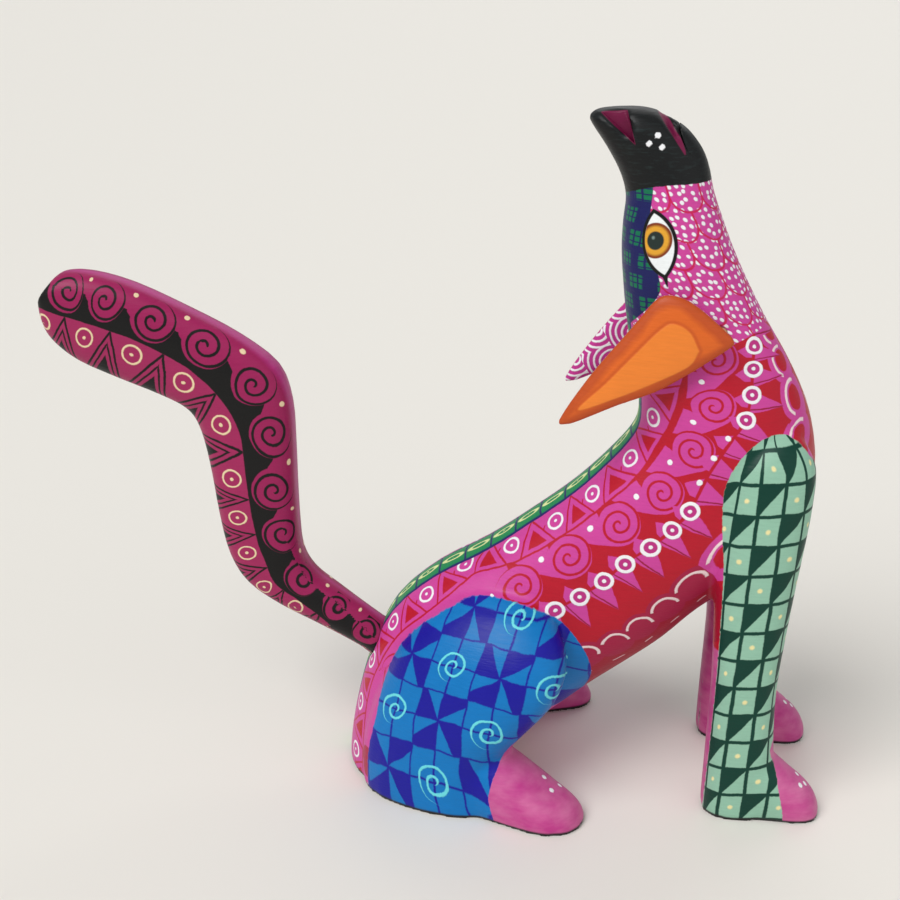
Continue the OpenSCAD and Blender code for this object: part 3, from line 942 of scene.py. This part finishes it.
def mark_head(obj, q):
    """Round the neck in mm, up, and the lower border of the scales."""
    x, y, z = q.T
    # half length, half width and middle of the neck and head, at five heights
    levels = (118, 128, 144, 157, 163)
    reach = np.interp(z, levels, (22, 17.5, 13.5, 10.5, 10.5))
    wide = np.interp(z, levels, (13.5, 12, 10.8, 8.6, 7.8))
    middle = np.interp(z, levels, (67, 63.3, 57.7, 55.4, 54))
    steps = 59
    turn = np.linspace(0, math.pi, steps + 1)
    arc = np.hypot(np.diff(np.cos(turn))[None] * reach[:, None], np.diff(np.sin(turn))[None] * wide[:, None])
    arc = np.hstack([np.zeros((len(q), 1)), np.cumsum(arc, axis=1)])
    place = np.arctan2(y / wide, (x - middle) / reach) / math.pi * steps
    low = np.clip(place.astype(int), 0, steps - 1)
    every = np.arange(len(q))
    around = arc[every, low] + (arc[every, low + 1] - arc[every, low]) * (place - low)
    store(obj, "head", around, z, np.maximum(124 + 0.4 * (x - 72), 118) - z)


def mark_haunch(obj, q, out):
    """Border of the blue haunch, and block steps along and up its grid, which fans out with its swell."""
    x, y, z = q.T
    gap = np.maximum(outline_gap(HAUNCH, x, z), (-0.15 - out) * 8)
    gap = np.maximum(gap, 8 - y)
    dx, dz = (x - 8) / 20, (z - 32) / 20
    a = 0.27 + 1.6 * dx - 0.31 * dz + 0.19 * dx * dz - 0.15 * dx**2 - 0.21 * dz**2
    b = -0.71 + 0.06 * dx + 1.34 * dz - 0.15 * dx * dz + 0.16 * dx**2 + 0.19 * dz**2
    store(obj, "haunch", gap, a, b)


def mark_leg(obj, q, out):
    """Border of the green leg, and mm round it and up."""
    x, y, z = q.T
    # the leg's axis leans forwards and inwards on its way up
    share = np.clip(z / 94, 0, 1)
    axis_x, axis_y = 76 + 5 * share, 18 - 6.5 * share**1.6
    forwards = x - axis_x
    inwards = np.clip(7 - (y - axis_y), 0, 20)
    u = forwards + inwards * np.clip(forwards / 3, -1, 1)
    gap = np.maximum(outline_gap(LEG, x, z), (-0.45 - out) * 6)
    gap = np.maximum(gap, np.where(z > 52, 8.5 - y, -5))
    store(obj, "leg", gap, u + 0.6, z)


def mark_zones(obj, q):
    """Borders of the plain pink below the belly line, of the black muzzle, and of the mouth and nostrils."""
    x, y, z = q.T
    plain = z - np.where(x > 62, 0.83 * (x - 10) - 1 - 0.4 * (x - 62), 0.83 * (x - 10) - 1)
    foot = np.maximum(np.maximum(z - 27, 13.5 - y), 15 - x)
    plain = np.minimum(np.maximum(plain, 16 - x), foot)
    muzzle = 161 - 3.5 * np.exp(-np.clip(x - 45, -2, 60) / 5) - z
    cuts = np.full(len(q), FAR)
    for (ax, az), lean, low, high, reach, rise, inner in (
        (MOUTH, MOUTH_LEAN, 0, MOUTH_W, MOUTH_L, MOUTH_RISE, 0),
        (NOSTRIL, NOSTRIL_LEAN, -NOSTRIL_W / 2, NOSTRIL_W / 2, NOSTRIL_L, 0, NOSTRIL_IN),
    ):
        c, s = math.cos(math.radians(lean)), math.sin(math.radians(lean))
        share = np.clip(y / MOUTH_SIDE, 0, 1.2)
        across, h = (x - ax) * c + (z - az) * s, -(x - ax) * s + (z - az) * c
        if rise:
            # the mouth narrows to a slit, and rises, towards the middle of the muzzle
            h = h - rise * (1 - share) * c
            high = SLIT_W + (MOUTH_W - SLIT_W) * share
        up = np.maximum(h, 0) / reach
        d = np.maximum(across - high * up, low * up - across)
        cuts = np.minimum(cuts, np.maximum(np.maximum(d, -h - 0.3), inner - 0.3 - y))
    store(obj, "zones", plain, muzzle, cuts)


def mark_eye(obj, q):
    """Mm across and up the eye's own tilted frame, and the border of where it is painted."""
    rel = q - np.array((53.2, 10.4, 147.2))
    across, up = rel @ np.array((0.894, 0.447, 0)) * 1.02, rel[:, 2] * 0.93
    tilt = math.radians(17)
    a = across * math.cos(tilt) + up * math.sin(tilt)
    b = -across * math.sin(tilt) + up * math.cos(tilt)
    store(obj, "eye", a, b, np.linalg.norm(rel, axis=1) - 14)


def mark_dots(obj, q):
    """Mm from the nearest of the white dots on the muzzle, the hind feet and the front feet."""
    dots = np.full(len(q), FAR)
    for place in (
        (52, 7, 172), (50, 7, 170), (53, 7, 169),
        (30.8, 27.5, 10.6), (33.1, 30.6, 9), (34.9, 26.6, 7.9),
        (95, 21, 8), (96, 19, 7), (95, 18, 9),
    ):
        on_skin = q[np.linalg.norm(q - np.array(place), axis=1).argmin()]
        dots = np.minimum(dots, np.linalg.norm(q - on_skin, axis=1))
    store(obj, "dots", dots)


def build_body(voxel, rounds):
    obj = copy_node("body", "body_skin")
    carve(obj, voxel, rounds, sole=True)
    cut_body(obj)
    co, no = points_of(obj), normals_of(obj)
    # both sides are painted alike, so the patterns are laid out on the left side
    q = co.astype(float)
    q[:, 1] = np.abs(q[:, 1])
    out = no[:, 1] * np.sign(co[:, 1])
    mark_rows(obj, q)
    mark_head(obj, q)
    mark_haunch(obj, q, out)
    mark_leg(obj, q, out)
    mark_zones(obj, q)
    mark_eye(obj, q)
    mark_dots(obj, q)
    # bare wood inside the sockets
    away, ahead = axis_gap(q, EAR_PEG, EAR_AXIS)
    bare = np.minimum(FAR, np.where(ahead > -16.5, away - EAR_SOCKET_R, FAR))
    store(obj, "bare", np.minimum(bare, axis_gap(q, TAIL_ROOT, TAIL_AXIS)[0] - 5.5))
    finish_piece(obj, "body", "body", body_material())


def build_tail(voxel, rounds):
    obj = copy_node("tail", "tail_skin")
    carve(obj, voxel, rounds, lambda co: axis_gap(co, TAIL_ROOT, TAIL_AXIS)[1] < 0.6)
    q = points_of(obj).astype(float)
    q[:, 1] = np.abs(q[:, 1])
    for name, points in (("scroll", SCROLL), ("fields", FIELDS)):
        line, at = smooth_line(points, 30)
        places = np.column_stack([line[:, 0], np.full(len(line), 6.6), line[:, 1]])
        store(obj, name, *along_row(q, places, at, PITCH[name]))
    store(obj, "bare", axis_gap(points_of(obj), TAIL_ROOT, TAIL_AXIS)[1] + 2.8)
    finish_piece(obj, "tail", "tail", tail_material())


def build_ear(side, name, voxel, rounds, material):
    obj = copy_node(name, name + "_skin")
    root, axis = on_side(EAR_PEG, side), on_side(EAR_AXIS, side)

    def peg(co):
        away, ahead = axis_gap(co, root, axis)
        return (away < 2.4) & (ahead < -1.0)

    carve(obj, voxel, rounds, peg)
    co, no = points_of(obj), normals_of(obj)
    # the leaf's own frame: u along it from its root, w up across it
    x, z = co[:, 0] - EAR_ROOT.x, co[:, 2] - EAR_ROOT.z
    u, w = -x * 0.8746 - z * 0.4848, -x * 0.4848 + z * 0.8746
    store(obj, "leaf", u, w, no[:, 1] * side + 0.12)
    leaf = (
        (-1, 0), (1, 6), (4, 13), (8, 16.5), (13, 16.5), (21, 12.6), (30, 9),
        (38, 5), (45, 0.5), (38, -1.5), (30, -2), (21, -3), (10, -2.2), (1, -1.5),
    )
    tear = (
        (7, 2), (7, 7), (9.5, 10.5), (13, 10.5), (21, 7.8),
        (30, 4.6), (39, 1.6), (30, 0.2), (20, -0.4), (11, -0.4),
    )
    store(obj, "rims", -outline_gap(leaf, u, w), outline_gap(tear, u, w))
    away, ahead = axis_gap(co, root, axis)
    store(obj, "bare", np.maximum(away - 2.3, ahead + 6.2))
    finish_piece(obj, name, name, material)


def build_stage(reach):
    """A pale floor, three soft lights and the camera."""
    bpy.ops.mesh.primitive_plane_add(size=reach, location=(0, 0, 0))
    floor = bpy.context.object
    floor.name = "floor"
    mat, _, shader = new_material("Pale floor")
    shader.inputs["Base Color"].default_value = FLOOR_PALE
    shader.inputs["Roughness"].default_value = 0.7
    floor.data.materials.append(mat)
    # soft suns, so that the floor is lit evenly as far as it reaches
    for name, place, power, spread in (
        ("key", (-0.35, -0.45, 0.75), 2.1, 38),
        ("fill", (0.75, -0.65, 0.45), 0.55, 70),
        ("rim", (0.1, 0.7, 0.6), 0.5, 50),
    ):
        bpy.ops.object.light_add(type="SUN", location=place)
        lamp = bpy.context.object
        lamp.name = name
        lamp.data.energy = power
        lamp.data.angle = math.radians(spread)
        lamp.rotation_euler = (Vector((0, 0, 0.08)) - Vector(place)).to_track_quat("-Z", "Y").to_euler()
    world = bpy.data.worlds.new("studio")
    bpy.context.scene.world = world
    world.use_nodes = True
    back = world.node_tree.nodes["Background"]
    back.inputs["Color"].default_value = (0.86, 0.88, 0.9, 1)
    # the room behind the floor is paler than the light it gives
    rays = world.node_tree.nodes.new("ShaderNodeLightPath")
    pale = Val(world.node_tree, rays.outputs["Is Camera Ray"]) * 0.5 + 0.42
    world.node_tree.links.new(pale.socket, back.inputs["Strength"])
    up, around = math.radians(CAMERA_UP), math.radians(CAMERA_AROUND)
    towards = Vector((math.sin(around) * math.cos(up), -math.cos(around) * math.cos(up), math.sin(up)))
    bpy.ops.object.camera_add(location=TARGET * MM + towards * DISTANCE)
    cam = bpy.context.object
    cam.rotation_euler = (-towards).to_track_quat("-Z", "Y").to_euler()
    cam.data.lens = LENS
    cam.data.sensor_width = SENSOR
    cam.data.clip_start = 0.01
    bpy.context.scene.camera = cam
    bpy.context.scene.view_settings.view_transform = "Standard"


# ---- add-on
class CoyoteSkin(bpy.types.PropertyGroup):
    """How finely the carved skins are made."""

    body_step: FloatProperty(
        name="Body step", description="Size of the body's facets, in mm", default=0.75, min=0.5, max=2)
    small_step: FloatProperty(
        name="Ear and tail step", description="Size of the facets of the ears and the tail, in mm",
        default=0.5, min=0.3, max=2)
    rounds: IntProperty(
        name="Sanding", description="Rounds of smoothing over the carved facets", default=14, min=0, max=40)


class CoyoteStage(bpy.types.PropertyGroup):
    """The size of the table top."""

    reach: FloatProperty(name="Floor size", description="Side of the floor", default=12.0, min=1, max=50, unit="LENGTH")


class COYOTE_OT_body(bpy.types.Operator):
    """Makes the painted body"""

    bl_idname = "coyote.body"
    bl_label = "Body"

    def execute(self, context):
        values = context.scene.coyote_skin
        build_body(values.body_step, values.rounds)
        return {"FINISHED"}


class COYOTE_OT_tail(bpy.types.Operator):
    """Makes the painted tail"""

    bl_idname = "coyote.tail"
    bl_label = "Tail"

    def execute(self, context):
        values = context.scene.coyote_skin
        build_tail(values.small_step, values.rounds)
        return {"FINISHED"}


class COYOTE_OT_ears(bpy.types.Operator):
    """Makes the two painted ears"""

    bl_idname = "coyote.ears"
    bl_label = "Ears"

    def execute(self, context):
        values = context.scene.coyote_skin
        material = ear_material()
        for side, name in ((1, "left_ear"), (-1, "right_ear")):
            build_ear(side, name, values.small_step * 0.8, values.rounds // 2, material)
        return {"FINISHED"}


class COYOTE_OT_stage(bpy.types.Operator):
    """Makes the floor, the lights and the camera"""

    bl_idname = "coyote.stage"
    bl_label = "Stage"

    def execute(self, context):
        build_stage(context.scene.coyote_stage.reach)
        return {"FINISHED"}


class COYOTE_PT_panel(bpy.types.Panel):
    """Buttons that build the coyote"""

    bl_label = "Painted coyote"
    bl_idname = "COYOTE_PT_panel"
    bl_space_type = "VIEW_3D"
    bl_region_type = "UI"
    bl_category = "Coyote"

    def draw(self, context):
        column = self.layout.column()
        for values in (context.scene.coyote_skin, context.scene.coyote_stage):
            for key in values.__annotations__:
                column.prop(values, key)
        for kind in OPERATORS:
            column.operator(kind.bl_idname)


OPERATORS = (COYOTE_OT_body, COYOTE_OT_tail, COYOTE_OT_ears, COYOTE_OT_stage)
CLASSES = (CoyoteSkin, CoyoteStage, *OPERATORS, COYOTE_PT_panel)


def register():
    for kind in CLASSES:
        bpy.utils.register_class(kind)
    bpy.types.Scene.coyote_skin = PointerProperty(type=CoyoteSkin)
    bpy.types.Scene.coyote_stage = PointerProperty(type=CoyoteStage)


def unregister():
    del bpy.types.Scene.coyote_stage
    del bpy.types.Scene.coyote_skin
    for kind in reversed(CLASSES):
        bpy.utils.unregister_class(kind)


def main():
    register()
    make_groups()
    bpy.ops.coyote.body()
    bpy.ops.coyote.tail()
    bpy.ops.coyote.ears()
    bpy.ops.coyote.stage()


if __name__ == "__main__":
    main()
